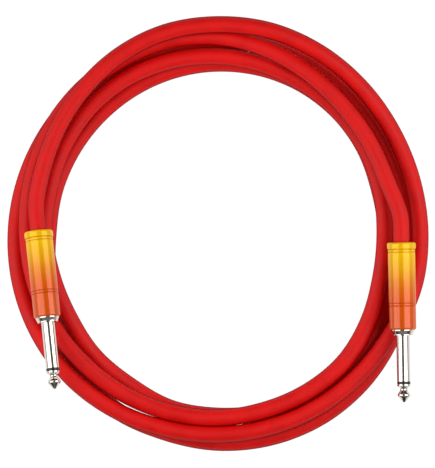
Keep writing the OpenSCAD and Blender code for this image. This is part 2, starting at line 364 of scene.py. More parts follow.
@dataclass(frozen=True)
class JacketPvc(Finish):
    """Flexible PVC, extruded and cooled in water: satin, one colour all through.

    The eye gets a soft broad sheen, faint lines along the lead from the die and a
    slight unevenness where it has been handled.
    """

    name: str = "satin red PVC jacket"
    slot: str = "jacket_pvc"
    colour: str = "#DA0604"
    deeper: str = "#CE0302"
    tones: Pair = (0.32, 0.62)
    # Painted shade: the deeper red mixed in where the strands turn away from the eye.
    edge: str = "#8C0000"
    edge_shade_from: Pair = (0.35, 0.8)
    roughness: float = 0.55
    handled: Pair = (0.5, 0.62)
    ior: float = 1.54
    sheen: float = 0.22
    patch: float = 9.0
    die_line: float = 0.9
    die_line_length: float = 30.0
    grain: float = 0.45
    grain_share: float = 0.35
    relief_share: float = 0.1
    relief_depth: float = 0.12

    def make(self) -> bpy.types.Material:
        """Builds the jacket's material.

        Returns:
            A material that reads the lead's UV in millimetres and Object coordinates.
        """
        pvc = self.start()
        patches = pvc.noise(self.patch, 2.0)
        tint = pvc.ramp(patches, zip(self.tones, (self.deeper, self.colour)))
        # Painted shade: where the jacket is seen along its face, its colour is mixed
        # toward a deeper red; it also has no gloss there.
        edge = pvc.spread(pvc.facing(), self.edge_shade_from)
        # Die lines run along the lead. The real grain is under 0.1 mm; it is drawn
        # wider so that it shows.
        across, along = 1 / self.die_line, 1 / self.die_line_length
        lines = pvc.drawn_noise("UV", (across, along, 1.0), 1.0)
        grain = pvc.noise(self.grain, 2.0)
        height = pvc.reckon("MULTIPLY_ADD", grain, self.grain_share, lines)
        pvc.relief(height, self.relief_share, self.relief_depth)
        # Plasticiser blooms on soft PVC and leaves less gloss than its index gives.
        pvc.feed({
            "Base Color": pvc.mixed(tint, self.edge, edge),
            "Roughness": pvc.spread(patches, NOISE, self.handled),
            "Specular IOR Level": pvc.spread(edge, given=(self.sheen, 0.0)),
        })
        return pvc.made


@dataclass(frozen=True)
class FadedLacquer(Finish):
    """Candy lacquer sprayed on turned brass, faded along the barrel, under clear coat.

    The eye gets a deep even colour that goes from yellow at the rear to burnt orange
    at the front, a hard gloss over it, and grooves painted darker as shade.
    """

    name: str = "faded gloss lacquer on turned brass"
    slot: str = "barrel_paint"
    colour: str = "#E49A08"
    roughness: float = 0.28
    metallic: float = 0.15
    length: float = 41.2
    fade: tuple[tuple[float, str], ...] = (
        (0.0, "#F1BC04"),
        (6.0, "#F0BA05"),
        (13.0, "#E7A004"),
        (18.0, "#DD8204"),
        (22.5, "#D86A02"),
        (27.0, "#D85601"),
        (41.2, "#D05002"),
    )
    spray_patch: float = 7.0
    spray_drift: float = 2.0
    # Painted shade: multiplied into the colour in the grooves.
    groove_shade: str = "#DCC0B0"
    groove_gloss: float = 0.3
    under_gloss: float = 0.1
    clear: Pair = (0.25, 0.75)
    clear_roughness: float = 0.07
    clear_ior: float = 1.52
    rim: Pair = (0.45, 0.75)
    peel: float = 0.9
    peel_share: float = 0.05
    peel_depth: float = 0.05

    def make(self) -> bpy.types.Material:
        """Builds the lacquer.

        Returns:
            A material that reads the barrel's UV, with V in millimetres from the rear,
            and its attribute recess, which is 1 in the grooves.
        """
        coat = self.start()
        along = coat.node("ShaderNodeSeparateXYZ", links={"Vector": coat.place("UV")})
        # The spray's edge is uneven by a millimetre or so.
        cloud = coat.noise(self.spray_patch, 1.0)
        drift = self.spray_drift
        moved = coat.reckon("MULTIPLY_ADD", cloud, drift, along.outputs["Y"])
        middle = drift / 2
        share = coat.spread(moved, (middle, self.length + middle))
        fade = coat.ramp(share, [(z / self.length, code) for z, code in self.fade])
        # Painted shade: the recess mask darkens the colour in the grooves.
        grooves = coat.node("ShaderNodeAttribute", {"attribute_name": "recess"})
        recess = grooves.outputs["Fac"]
        # Orange peel, a few microns high.
        peel = coat.noise(self.peel, 1.0)
        coat.relief(peel, self.peel_share, self.peel_depth, "Coat Normal")
        # The clear coat carries the gloss; the colour below it hardly shines.
        gloss = coat.spread(share, given=self.clear)
        kept = coat.spread(recess, given=(1.0, self.groove_gloss))
        even = coat.reckon("MULTIPLY", gloss, kept)
        # The orange peel scatters what the rim would mirror at a grazing angle.
        rim = coat.spread(coat.facing(), self.rim, (1.0, 0.0))
        coat.feed({
            "Base Color": coat.mixed(fade, self.groove_shade, recess, "MULTIPLY"),
            "Specular IOR Level": self.under_gloss,
            "Coat Weight": coat.reckon("MULTIPLY", even, rim),
            "Coat Roughness": self.clear_roughness,
            "Coat IOR": self.clear_ior,
        })
        return coat.made


@dataclass(frozen=True)
class BrightNickel(Finish):
    """Bright nickel plate on turned brass: a slightly warm mirror.

    The eye gets clear white reflections with hard dark lines, and very fine rings
    left by the lathe.
    """

    name: str = "bright nickel plate"
    slot: str = "nickel"
    colour: str = "#DCD6CD"
    roughness: float = 0.11
    metallic: float = 1.0
    ring: float = 0.3
    ring_drift: float = 0.02
    ring_share: float = 0.06
    ring_depth: float = 0.02
    mark: float = 4.0
    marked: Pair = (0.35, 0.75)
    dulled: Pair = (0.08, 0.16)

    def make(self) -> bpy.types.Material:
        """Builds the plate.

        Returns:
            A material that reads the piece's UV, with V in millimetres along the axis.
        """
        plate = self.start()
        # Lathe rings are about 0.05 mm apart; they are drawn wider so that they show.
        rings = plate.drawn_noise("UV", (self.ring_drift, 1 / self.ring, 1.0), 2.0)
        plate.relief(rings, self.ring_share, self.ring_depth)
        # Finger marks of a few millimetres dull the plate a little.
        marks = plate.noise(self.mark, 2.0)
        plate.feed({"Roughness": plate.spread(marks, self.marked, self.dulled)})
        return plate.made


@dataclass(frozen=True)
class GrainedFinish(Finish):
    """A finish with one fine grain in its colour, its height and its roughness.

    It serves the small moulded, stamped and soldered pieces, each with its own sizes.
    """

    darker: str = "#000000"
    tones: Pair = (0.35, 0.62)
    grain: float = 1.0
    stretch: tuple[float, float, float] = (1.0, 1.0, 1.0)
    relief: float = 0.05
    strength: float = 0.2
    rough_spread: float = 0.06
    transmission: float = 0.0
    subsurface: float = 0.0
    scatter: tuple[float, float, float] = (1.0, 0.8, 0.6)

    def make(self) -> bpy.types.Material:
        """Builds the material on Object coordinates.

        Returns:
            The material.
        """
        work = self.start()
        scale = tuple(s / (self.grain * MM) for s in self.stretch)
        grain = work.drawn_noise("Object", scale, 3.0)
        rough = (self.roughness - self.rough_spread, self.roughness + self.rough_spread)
        work.relief(grain, self.strength, self.relief)
        work.feed({
            "Base Color": work.ramp(grain, zip(self.tones, (self.darker, self.colour))),
            "Roughness": work.spread(grain, NOISE, rough),
            "Transmission Weight": self.transmission,
            "Subsurface Weight": self.subsurface,
            "Subsurface Radius": tuple(s * MM for s in self.scatter),
        })
        return work.made


class Finishes:
    """Every finish of the lead, each made once and then shared."""

    def __init__(self) -> None:
        """Lists the finishes by their slot."""
        listed: list[Finish] = [
            JacketPvc(),
            FadedLacquer(),
            BrightNickel(),
            # Acetal turned from black rod: a low even sheen.
            GrainedFinish(
                "black acetal", "black_plastic", "#191817", 0.3, ior=1.48,
                darker="#121110", grain=0.6, strength=0.1,
            ),
            # Clear vinyl tube: glassy, with slight waves from the extruder.
            GrainedFinish(
                "clear vinyl tube", "clear_plastic", "#F2F6F6", 0.12, ior=1.53,
                darker="#E9F0F0", grain=3.0, strength=0.15, rough_spread=0.03,
                transmission=0.92,
            ),
            # Half-hard brass strip, stamped: bright with rolling lines along it.
            GrainedFinish(
                "stamped brass strip", "brass", "#D8B35C", 0.3, metallic=1.0,
                darker="#C49A45", grain=0.35, stretch=(1.0, 0.12, 1.0), strength=0.15,
                relief=0.02,
            ),
            # Vulcanised fibre: a dry, mottled red-brown board.
            GrainedFinish(
                "vulcanised fibre", "fibre", "#9C7A4A", 0.72, ior=1.5,
                darker="#7E5E36", grain=0.5, strength=0.5, relief=0.04,
            ),
            # Bare soft copper, drawn fine: each wire is a little different in tone.
            GrainedFinish(
                "bare copper wire", "copper", "#DB8F66", 0.28, metallic=1.0,
                darker="#B86C46", grain=0.8, strength=0.2, relief=0.02,
            ),
            # Polyethylene filled with carbon: dull and slightly rough.
            GrainedFinish(
                "carbon-filled polyethylene", "conductive_plastic", "#242322", 0.66,
                ior=1.51, darker="#1A1918", grain=0.4, strength=0.35,
            ),
            # Natural polyethylene: milky, light goes a little way in.
            GrainedFinish(
                "natural polyethylene", "insulation_pe", "#EFEADF", 0.42, ior=1.51,
                darker="#E4DDCD", grain=1.4, strength=0.12, subsurface=0.25,
            ),
            # Tin-lead solder, set from molten: bright with faint frost.
            GrainedFinish(
                "set solder", "solder", "#C6C8C9", 0.26, metallic=1.0,
                darker="#A3A6A8", grain=0.5, strength=0.3, relief=0.05,
            ),
        ]
        self.finishes: dict[str, Finish] = {f.slot: f for f in listed}
        self.made: dict[str, bpy.types.Material] = {}

    def material(self, slot: str) -> bpy.types.Material:
        """Gives the material of a slot, made on its first use.

        Args:
            slot: The finish's slot.

        Returns:
            The material.
        """
        if slot not in self.made:
            self.made[slot] = self.finishes[slot].make()
        return self.made[slot]

    def dress(self, piece: bpy.types.Object, slot: str) -> bpy.types.Object:
        """Gives a piece the material of a slot.

        Args:
            piece: A piece of this script or a CAD node.
            slot: The finish's slot.

        Returns:
            The same piece.
        """
        if not piece.material_slots:
            piece.data.materials.append(None)
        for place in piece.material_slots:
            place.link = "OBJECT"
            place.material = self.material(slot)
        return piece


# ---------------------------------------------------------------------------
# Meshes
# ---------------------------------------------------------------------------


def finished(name: str, mesh: bmesh.types.BMesh, place: Matrix) -> bpy.types.Object:
    """Writes a mesh as a piece whose object sits at the origin.

    Args:
        name: The piece's name.
        mesh: Its mesh in millimetres, in its own frame. It is freed.
        place: From its own frame to the row frame, in millimetres.

    Returns:
        The piece, smooth shaded.
    """
    bmesh.ops.transform(mesh, matrix=Matrix.Scale(MM, 4) @ place, verts=mesh.verts)
    data = bpy.data.meshes.new(name)
    mesh.to_mesh(data)
    mesh.free()
    data.polygons.foreach_set("use_smooth", [True] * len(data.polygons))
    data.set_sharp_from_angle(angle=math.radians(CREASE))
    return linked(name, data)


def eased_corner(before: Pair, corner: Pair, after: Pair, radius: float) -> list[Pair]:
    """Rounds one corner of a turned profile.

    Args:
        before: The point before the corner, (along, out).
        corner: The corner.
        after: The point after it.
        radius: How far along each side the round starts.

    Returns:
        The points of the round.
    """
    a, b, c = (Vector(p) for p in (before, corner, after))
    start, end = (
        b + (side - b).normalized() * min(radius, (side - b).length * ROUND_SHARE)
        for side in (a, c)
    )
    fractions = (i / ROUND_STEPS for i in range(ROUND_STEPS + 1))
    bend = (start.lerp(b, t).lerp(b.lerp(end, t), t) for t in fractions)
    return [(p.x, p.y) for p in bend]


@dataclass
class Profile:
    """A turned piece's outline: (along, out) from rear to front and back inside."""

    points: list[Pair] = field(default_factory=list)
    recessed: list[float] = field(default_factory=list)

    def line(self, *points: Pair, recess: float = 0.0) -> None:
        """Adds plain points, which may lie in a groove."""
        self.points += points
        self.recessed += [recess] * len(points)

    def rounded(self, radius: float, *corners: Pair) -> None:
        """Adds corners with a round on each.

        Args:
            radius: The size of the rounds.
            corners: The first and the last are only where the line comes from and
                goes to, and aren't added.
        """
        for before, corner, after in zip(corners, corners[1:], corners[2:]):
            self.line(*eased_corner(before, corner, after, radius))

    def quarter(self, centre: Pair, reach: Pair, start: float, steps: int) -> None:
        """Adds a quarter of an oval, from rear to front.

        Args:
            centre: The oval's centre.
            reach: Its half sizes, along and out.
            start: 0 for the quarter behind the centre, 90 for the one before it.
            steps: The number of its facets.
        """
        for k in range(steps + 1):
            t = math.radians(start + 90 * k / steps)
            along = centre[0] - reach[0] * math.cos(t)
            self.line((along, centre[1] + reach[1] * math.sin(t)))

    def turned(self) -> bmesh.types.BMesh:
        """Turns the outline about its axis.

        Returns:
            A closed mesh with a UV map, U once round and V in millimetres along, and
            the attribute recess.
        """
        mesh = bmesh.new()
        layer = mesh.verts.layers.float.new("recess")
        rings: list[list[bmesh.types.BMVert]] = []
        for (along, out), recess in zip(self.points, self.recessed):
            angles = [2 * math.pi * k / AROUND for k in range(AROUND)]
            if out < ON_AXIS:
                out, angles = 0.0, [0.0]
            ring = [
                mesh.verts.new((out * math.cos(t), out * math.sin(t), along))
                for t in angles
            ]
            for vert in ring:
                vert[layer] = recess
            rings.append(ring)
        uv = mesh.loops.layers.uv.new("UVMap")
        closed = len(rings[0]) > 1
        following = rings[1:] + (rings[:1] if closed else [])
        for a, b in zip(rings, following):
            for k in range(AROUND):
                n = (k + 1) % AROUND
                corners = [(a, k, k), (a, n, k + 1), (b, n, k + 1), (b, k, k)]
                seen, us = [], []
                for ring, at, u in corners:
                    vert = ring[at % len(ring)]
                    if vert not in seen:
                        seen.append(vert)
                        us.append(u / AROUND)
                if len(seen) < 3:
                    continue
                face = mesh.faces.new(seen)
                for loop, u in zip(face.loops, us):
                    loop[uv].uv = (u, loop.vert.co.z)
        bmesh.ops.recalc_face_normals(mesh, faces=mesh.faces)
        return mesh


# ---------------------------------------------------------------------------
# Helices by Geometry Nodes: thread, braid and stranded wire
# ---------------------------------------------------------------------------


@dataclass(frozen=True)
class Helix:
    """Wires or a thread that wind round the plug's axis, made by one node tree."""

    radius: float
    length: float
    turns: float
    count: int
    width: float
    thickness: float
    hand: Hand = Hand.RIGHT_HAND
    steps: int = 40
    corners: int = 8

    def inputs(
        self, finish: bpy.types.Material | None = None
    ) -> dict[str, tuple[str, object]]:
        """Lists the tree's inputs.

        Args:
            finish: The material that the tree sets.

        Returns:
            Each input's name, with its kind and its value for this helix.
        """
        return {
            "Radius": ("Float", self.radius),
            "Length": ("Float", self.length),
            "Turns": ("Float", self.turns),
            "Count": ("Int", self.count),
            "Width": ("Float", self.width),
            "Thickness": ("Float", self.thickness),
            "Corners": ("Int", self.corners),
            "Left Hand": ("Bool", self.hand.value),
            "Steps": ("Int", self.steps),
            "Finish": ("Material", finish),
        }

    def tree(self) -> bpy.types.NodeTree:
        """Builds the node tree once and returns it.

        Returns:
            A tree with the inputs that are listed above.
        """
        name = "helix about an axis"
        made = bpy.data.node_groups.get(name)
        if made:
            return made
        made = bpy.data.node_groups.new(name, "GeometryNodeTree")
        face = made.interface
        face.new_socket("Geometry", in_out="INPUT", socket_type="NodeSocketGeometry")
        for name, (kind, _) in self.inputs().items():
            face.new_socket(name, in_out="INPUT", socket_type=f"NodeSocket{kind}")
        face.new_socket("Geometry", in_out="OUTPUT", socket_type="NodeSocketGeometry")
        node = partial(add, made)
        sizes = node("NodeGroupInput").outputs
        spiral = node(
            "GeometryNodeCurveSpiral",
            links={
                "Resolution": sizes["Steps"],
                "Rotations": sizes["Turns"],
                "Start Radius": sizes["Radius"],
                "End Radius": sizes["Radius"],
                "Height": sizes["Length"],
                "Reverse": sizes["Left Hand"],
            },
        )
        corners = {"Resolution": sizes["Corners"]}
        unit = node("GeometryNodeCurvePrimitiveCircle", {"Radius": 0.5}, corners)
        widths = {"X": sizes["Width"], "Y": sizes["Thickness"]}
        across = node("ShaderNodeCombineXYZ", links=widths)
        shaped = {"Geometry": unit.outputs[0], "Scale": across.outputs[0]}
        section = node("GeometryNodeTransform", links=shaped)
        along = {"Curve": spiral.outputs[0], "Profile Curve": section.outputs[0]}
        swept = node("GeometryNodeCurveToMesh", {"Fill Caps": True}, along)
        # The wires start at even turns about the axis.
        count = {"Count": sizes["Count"]}
        starts = node("GeometryNodePoints", {"Radius": 0.0}, count)
        whole_turn = {"operation": "DIVIDE", 0: 2 * math.pi}
        each = node("ShaderNodeMath", whole_turn, {1: sizes["Count"]})
        index = node("GeometryNodeInputIndex")
        factors = {0: index.outputs[0], 1: each.outputs[0]}
        turn = node("ShaderNodeMath", {"operation": "MULTIPLY"}, factors)
        about = node("ShaderNodeCombineXYZ", links={"Z": turn.outputs[0]})
        placed = node(
            "GeometryNodeInstanceOnPoints",
            links={
                "Points": starts.outputs[0],
                "Instance": swept.outputs[0],
                "Rotation": about.outputs[0],
            },
        )
        copies = {"Geometry": placed.outputs[0]}
        real = node("GeometryNodeRealizeInstances", links=copies)
        dressing = {"Geometry": real.outputs[0], "Material": sizes["Finish"]}
        dressed = node("GeometryNodeSetMaterial", links=dressing)
        node("NodeGroupOutput", links={0: dressed.outputs[0]})
        return made

    def mesh(self, finish: bpy.types.Material) -> bmesh.types.BMesh:
        """Evaluates the tree with this helix's sizes.

        Args:
            finish: The material that the tree sets.

        Returns:
            A plain mesh in millimetres, from the axis's zero upwards.
        """
        tree = self.tree()
        holder = linked("helix", bpy.data.meshes.new("helix"))
        modifier = holder.modifiers.new("helix", "NODES")
        modifier.node_group = tree
        socket = {
            s.name: s.identifier
            for s in tree.interface.items_tree
            if s.item_type == "SOCKET" and s.in_out == "INPUT"
        }
        for name, (_, value) in self.inputs(finish).items():
            modifier[socket[name]] = value
        graph = bpy.context.evaluated_depsgraph_get()
        plain = bpy.data.meshes.new_from_object(holder.evaluated_get(graph))
        mesh = bmesh.new()
        mesh.from_mesh(plain)
        holder.modifiers.clear()
        bpy.data.objects.remove(holder)
        bpy.data.meshes.remove(plain)
        bmesh.ops.recalc_face_normals(mesh, faces=mesh.faces)
        return mesh


# ---------------------------------------------------------------------------
# Where the plugs lie
# ---------------------------------------------------------------------------


@dataclass(frozen=True)
class Lie:
    """How one plug lies: its barrel's rear face, its lean in plan and its tilt."""

    tail: tuple[float, float, float]
    lean: float
    tilt: float

    def matrix(self) -> Matrix:
        """Places the plug, whose own z runs from its rear to its tip.

        Returns:
            The way from the plug's own frame to the row frame, in millimetres.
        """
        leant = Matrix.Rotation(math.radians(self.lean), 4, "Z")
        laid = Matrix.Rotation(math.radians(90 - self.tilt), 4, "X")
        return Matrix.Translation(self.tail) @ leant @ laid

    def at(self, along: float) -> np.ndarray:
        """A point on the plug's axis, so many millimetres from the barrel's rear."""
        return np.array(self.matrix() @ Vector((0.0, 0.0, along)))


LIES = {
    Side.LEFT: Lie(tail=(-84.65, 0.9, 22.85), lean=6.0, tilt=8.0),
    Side.RIGHT: Lie(tail=(86.595, -4.3, 23.05), lean=1.0, tilt=0.0),
}


# ---------------------------------------------------------------------------
# The lead
# ---------------------------------------------------------------------------


def run_along(points: np.ndarray) -> np.ndarray:
    """How far along a curve each of its points lies."""
    steps = np.linalg.norm(np.diff(points, axis=0), axis=1)
    return np.concatenate(([0], np.cumsum(steps)))


@dataclass
class SignalLead:
    """The wound lead: one jacket from inside the left barrel to inside the right one.

    Turns of 90 mm radius, each strand moved sideways by lanes and up by layers, from
    the left plug through the pile to the right plug. It is the CAD's plan, but a few
    strands lie up to 2 mm to the side, so that neighbours close up.
    """

    diameter: float = 8.0
    bore: float = 5.4
    ring_radius: float = 90.0
    lane: float = 8.5
    layer: float = 8.6
    rest: float = 3.2
    centre: Pair = (-0.6, -0.1)
    held: float = 5.5
    lead_out: float = 8.0
    jacket_end: float = 15.0
    cut_round: float = 0.3
    first_key: int = 30
    last_key: int = 1605
    key_step: int = 15
    key_parts: int = 8
    station: float = 2.5
    around: int = 28
    relax_passes: int = 12
    relax_margin: float = 3.0
    relax_rise: int = 4
    relax_fall: int = 25
    relax_reach: int = 60
    # Degrees along the winding, with the lane and then the layer there.
    lanes: tuple[Pair, ...] = (
        (10, -0.31), (85, 0.99), (100, 1.06), (160, 0.66), (198, 0.755), (216, 0.54),
        (240, 0.55), (256, 0.55), (270, 0.575), (281, 0.575), (291, 0.66), (300, 0.71),
        (313, 0.77), (415, 0.25), (438, 0), (468, 0.16), (518, -0.11), (604, 1.12),
        (618, 1.11), (650, 0.77), (726, -1.28), (756, -1.34), (849, -1.02),
        (874, -1.11), (889, -1.25), (942, -0.09), (960, -0.02), (986, -0.46),
        (997, -0.47), (1022, -0.89), (1057, -1.21), (1082, -1.04), (1136, -0.62),
        (1227, -1.04), (1264, -1.25), (1315, -0.47), (1335, -0.43), (1349, -0.35),
        (1384, -0.295), (1426, -0.13), (1489, 0.37), (1514, 0.46), (1588, -0.68),
        (1605, -0.66),
    )
    lifts: tuple[Pair, ...] = (
        (30, 2.06), (102, 2.06), (160, 1), (309, 1), (360, 0), (1013, 0), (1066, 1),
        (1362, 1), (1402, 1.33), (1440, 0.94), (1465, 1.02), (1508, 1.02),
        (1566, 1.97), (1590, 2.02), (1605, 2.23),
    )

    @staticmethod
    def eased(keys: Sequence[Pair], angle: float) -> float:
        """Reads a key table with smooth steps.

        Args:
            keys: Angles and values, in rising order.
            angle: Degrees along the winding.

        Returns:
            The value there.
        """
        if angle <= keys[0][0]:
            return keys[0][1]
        for (a, u), (b, v) in zip(keys, keys[1:]):
            if angle <= b:
                s = (angle - a) / (b - a)
                return u + (v - u) * s * s * (3 - 2 * s)
        return keys[-1][1]

    def strand(self, angle: float) -> np.ndarray:
        """Finds the lead's centre along the winding, which starts at the left.

        Args:
            angle: Degrees along the winding.

        Returns:
            The point in millimetres.
        """
        radius = self.ring_radius + self.lane * self.eased(self.lanes, angle)
        turn = math.radians(180 - angle)
        x = self.centre[0] + radius * math.cos(turn)
        y = self.centre[1] + radius * math.sin(turn)
        return np.array((x, y, self.rest + self.layer * self.eased(self.lifts, angle)))

    def route(self) -> np.ndarray:
        """Lists the route's own points.

        Returns:
            Points in millimetres from one jacket end to the other.
        """
        left, right = LIES[Side.LEFT], LIES[Side.RIGHT]
        far = self.held + self.lead_out
        points = [left.at(self.jacket_end), left.at(-self.held), left.at(-far)]
        angles = range(self.first_key, self.last_key + 1, self.key_step)
        points += [self.strand(a) for a in angles]
        points += [right.at(-far), right.at(-self.held), right.at(self.jacket_end)]
        return np.array(points)

    def through(self, keys: np.ndarray) -> np.ndarray:
        """Draws a centripetal Catmull-Rom curve through points.

        Args:
            keys: The points.

        Returns:
            The curve's points, some of them between each two of those.
        """
        ends = np.vstack((2 * keys[0] - keys[1], keys, 2 * keys[-1] - keys[-2]))
        fine: list[np.ndarray] = []
        for p0, p1, p2, p3 in zip(ends, ends[1:], ends[2:], ends[3:]):
            t1 = np.linalg.norm(p1 - p0) ** 0.5
            t2 = t1 + np.linalg.norm(p2 - p1) ** 0.5
            t3 = t2 + np.linalg.norm(p3 - p2) ** 0.5
            for t in np.linspace(t1, t2, self.key_parts + 1)[:-1]:
                a1 = p0 + (p1 - p0) * t / t1
                a2 = p1 + (p2 - p1) * (t - t1) / (t2 - t1)
                a3 = p2 + (p3 - p2) * (t - t2) / (t3 - t2)
                b1 = a1 + (a2 - a1) * t / t2
                b2 = a2 + (a3 - a2) * (t - t1) / (t3 - t1)
                fine.append(b1 + (b2 - b1) * (t - t1) / (t2 - t1))
        fine.append(keys[-1])
        return np.array(fine)

    def spaced(self, curve: np.ndarray) -> np.ndarray:
        """Puts stations at even steps along a curve.

        Args:
            curve: Points in millimetres.

        Returns:
            Points one station apart, with both ends kept.
        """
        run = run_along(curve)
        at = np.linspace(0, run[-1], int(round(run[-1] / self.station)) + 1)
        return np.stack([np.interp(at, run, curve[:, k]) for k in range(3)], axis=1)

    def centreline(self) -> np.ndarray:
        """A smooth curve through the route, with evenly spaced stations.

        Returns:
            Points in millimetres. The ends stay straight along the plugs' axes, and the
            bends just behind them are eased.
        """
        curve = self.spaced(self.through(self.route()))
        straight = self.jacket_end + self.held + self.relax_margin
        from_end = np.minimum(np.arange(len(curve)), np.arange(len(curve))[::-1])
        rising = (from_end - int(straight / self.station)) / self.relax_rise
        falling = (self.relax_reach - from_end) / self.relax_fall
        free = np.clip(rising, 0, 1) * np.clip(falling, 0, 1)
        for _ in range(self.relax_passes):
            middle = curve.copy()
            middle[1:-1] = 0.5 * curve[1:-1] + 0.25 * (curve[:-2] + curve[2:])
            curve = curve + (middle - curve) * free[:, None]
        return curve

    def rings(self, last: int) -> list[tuple[int, float, float]]:
        """Lists the rings of the tube with its two bores.

        Args:
            last: The number of the last station.

        Returns:
            Station, radius and shift along: up the left bore, along the outside and
            down the right bore, with a small round at each cut end.
        """
        deep = int(round((self.jacket_end + self.held) / self.station))
        out, bore, cut = self.diameter / 2, self.bore / 2, self.cut_round
        bulge = 0.3 * cut
        edge = [(out - cut, 0.0), (out - bulge, bulge), (out, cut)]
        made = [(i, bore, 0.0) for i in range(deep, -1, -1)]
        made += [(0, radius, shift) for radius, shift in edge]
        made += [(i, out, 0.0) for i in range(1, last)]
        made += [(last, radius, -shift) for radius, shift in reversed(edge)]
        made += [(last - i, bore, 0.0) for i in range(deep + 1)]
        return made

    def tube(self, line: np.ndarray) -> bmesh.types.BMesh:
        """Makes the jacket as one closed tube with a real bore at each end.

        Args:
            line: The centreline in millimetres.

        Returns:
            A closed mesh with a UV map in millimetres, U round and V along.
        """
        heading = np.gradient(line, axis=0)
        heading /= np.linalg.norm(heading, axis=1)[:, None]
        side = np.cross(heading, (0.0, 0.0, 1.0))
        side /= np.linalg.norm(side, axis=1)[:, None]
        up = np.cross(side, heading)
        run = run_along(line)
        rings = self.rings(len(line) - 1)
        mesh = bmesh.new()
        uv = mesh.loops.layers.uv.new("UVMap")
        rows: list[list[bmesh.types.BMVert]] = []
        for i, out, shift in rings:
            # The lowest strands rest on the table and are a little flatter below.
            outside = out > self.bore / 2
            squash = min(1.0, line[i][2] / (self.diameter / 2)) if outside else 1.0
            row = []
            for k in range(self.around):
                t = 2 * math.pi * k / self.around
                lift = math.sin(t) * (squash if math.sin(t) < 0 else 1.0)
                section = out * (math.cos(t) * side[i] + lift * up[i])
                row.append(mesh.verts.new(line[i] + heading[i] * shift + section))
            rows.append(row)
        for a, b, ring, following in zip(rows, rows[1:], rings, rings[1:]):
            for k in range(self.around):
                n = (k + 1) % self.around
                face = mesh.faces.new((a[k], a[n], b[n], b[k]))
                places = zip((k, k + 1, k + 1, k), (ring, ring, following, following))
                for loop, (u, (i, out, shift)) in zip(face.loops, places):
                    loop[uv].uv = (2 * math.pi * out * u / self.around, run[i] + shift)
        for row, (i, _, _) in ((rows[0], rings[0]), (rows[-1], rings[-1])):
            middle = mesh.verts.new(line[i])
            for k in range(self.around):
                mesh.faces.new((row[k], row[(k + 1) % self.around], middle))
        bmesh.ops.recalc_face_normals(mesh, faces=mesh.faces)
        return mesh

    def build(self, finishes: Finishes) -> tuple[bpy.types.Object, np.ndarray]:
        """Builds and dresses the lead.

        Args:
            finishes: Where its material comes from.

        Returns:
            The piece, and its centreline in millimetres.
        """
        line = self.centreline()
        piece = finished("signal_lead", self.tube(line), Matrix.Identity(4))
        finishes.dress(piece, "jacket_pvc")
        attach(piece, "root")
        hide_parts("cable_coil", "left_cable_end", "right_cable_end")
        return piece, line

    def declare(
        self
    ) -> None:
        tuple(LIES[Side.LEFT].at(0.0) * MM)


# ---------------------------------------------------------------------------
# The plugs
# ---------------------------------------------------------------------------


@dataclass
class Barrel:
    """The barrel: a turned shell with a rear bead, two pairs of grooves and a nose."""

    length: float = 41.2
    body: float = 12.9
    bead: float = 13.6
    bead_length: float = 3.1
    bead_round: float = 0.9
    bead_edge: float = 0.18
    hole: float = 8.6
    hole_edge: float = 0.15
    bore: float = 10.8
    rear_wall: float = 2.5
    groove: float = 0.2
    groove_width: float = 0.4
    groove_pitch: float = 1.3
    groove_slope: float = 0.03
    groove_lip: Pair = (0.09, 0.07)
    lip_recess: float = 0.3
    floor_recess: float = 0.9
    front_grooves_back: float = 11.4
    front_step: float = 0.1
    nose: float = 1.2
    nose_land: float = 0.3
    mouth_edge: float = 0.12
    thread_turns: int = 5
    thread_from: float = 0.5
    thread_depth: float = 0.22
    # One turn of the thread: how far behind its front, and how deep as a share.
    thread_shape: tuple[Pair, ...] = ((0.0, 0.0), (0.3, 1.0), (0.5, 1.0), (0.8, 0.0))

    def groove_outline(self, made: Profile, start: float, front: bool) -> None:
        """Adds one groove, whose floor and lips are marked as recessed.

        Args:
            made: The outline that it is added to.
            start: Where the groove starts, from the rear.
            front: Whether it is the last, where the body steps down a little.
        """
        out = self.body / 2
        end, floor = start + self.groove_width, out - self.groove
        lip, fall = self.groove_lip
        # The first groove starts at the bead's front, which has its own edge.
        if start > self.bead_length:
            made.line((start - lip, out))
            made.line((start, out - fall), recess=self.lip_recess)
        flat = (start + self.groove_slope, floor), (end - self.groove_slope, floor)
        made.line(*flat, recess=self.floor_recess)
        beyond = out - self.front_step if front else out
        made.line((end, beyond - fall), recess=self.lip_recess)
        made.line((end + lip, beyond))

    def profile(self) -> Profile:
        """Draws the barrel.

        Returns:
            Its outline, outside from rear to front and back through the bore.
        """
        hole, bead, bore = self.hole / 2, self.bead / 2, self.bore / 2
        made = Profile()
        made.line((self.hole_edge, hole), (0.0, hole + self.hole_edge))
        curve = self.bead_round
        made.quarter((curve, bead - curve), (curve, curve), 0, 6)
        made.rounded(0.2, (curve, bead), (self.bead_length - self.bead_edge, bead),
                     (self.bead_length, bead - self.bead_edge),
                     (self.bead_length, self.body / 2 - self.groove))
        front = self.length - self.front_grooves_back
        for start in (
            self.bead_length,
            self.bead_length + self.groove_pitch,
            front - self.groove_pitch,
            front,
        ):
            self.groove_outline(made, start, start == front)
        land = bore + self.nose_land
        fall = self.body / 2 - self.front_step - land
        made.quarter((self.length - self.nose, land), (self.nose, fall), 90, 8)
        made.line((self.length, bore + self.mouth_edge),
                  (self.length - self.mouth_edge, bore))
        for k in range(self.thread_turns):
            z = self.length - self.thread_from - k
            for back, share in self.thread_shape:
                made.line((z - back, bore + share * self.thread_depth))
        made.line((self.rear_wall, bore), (self.rear_wall, hole))
        return made


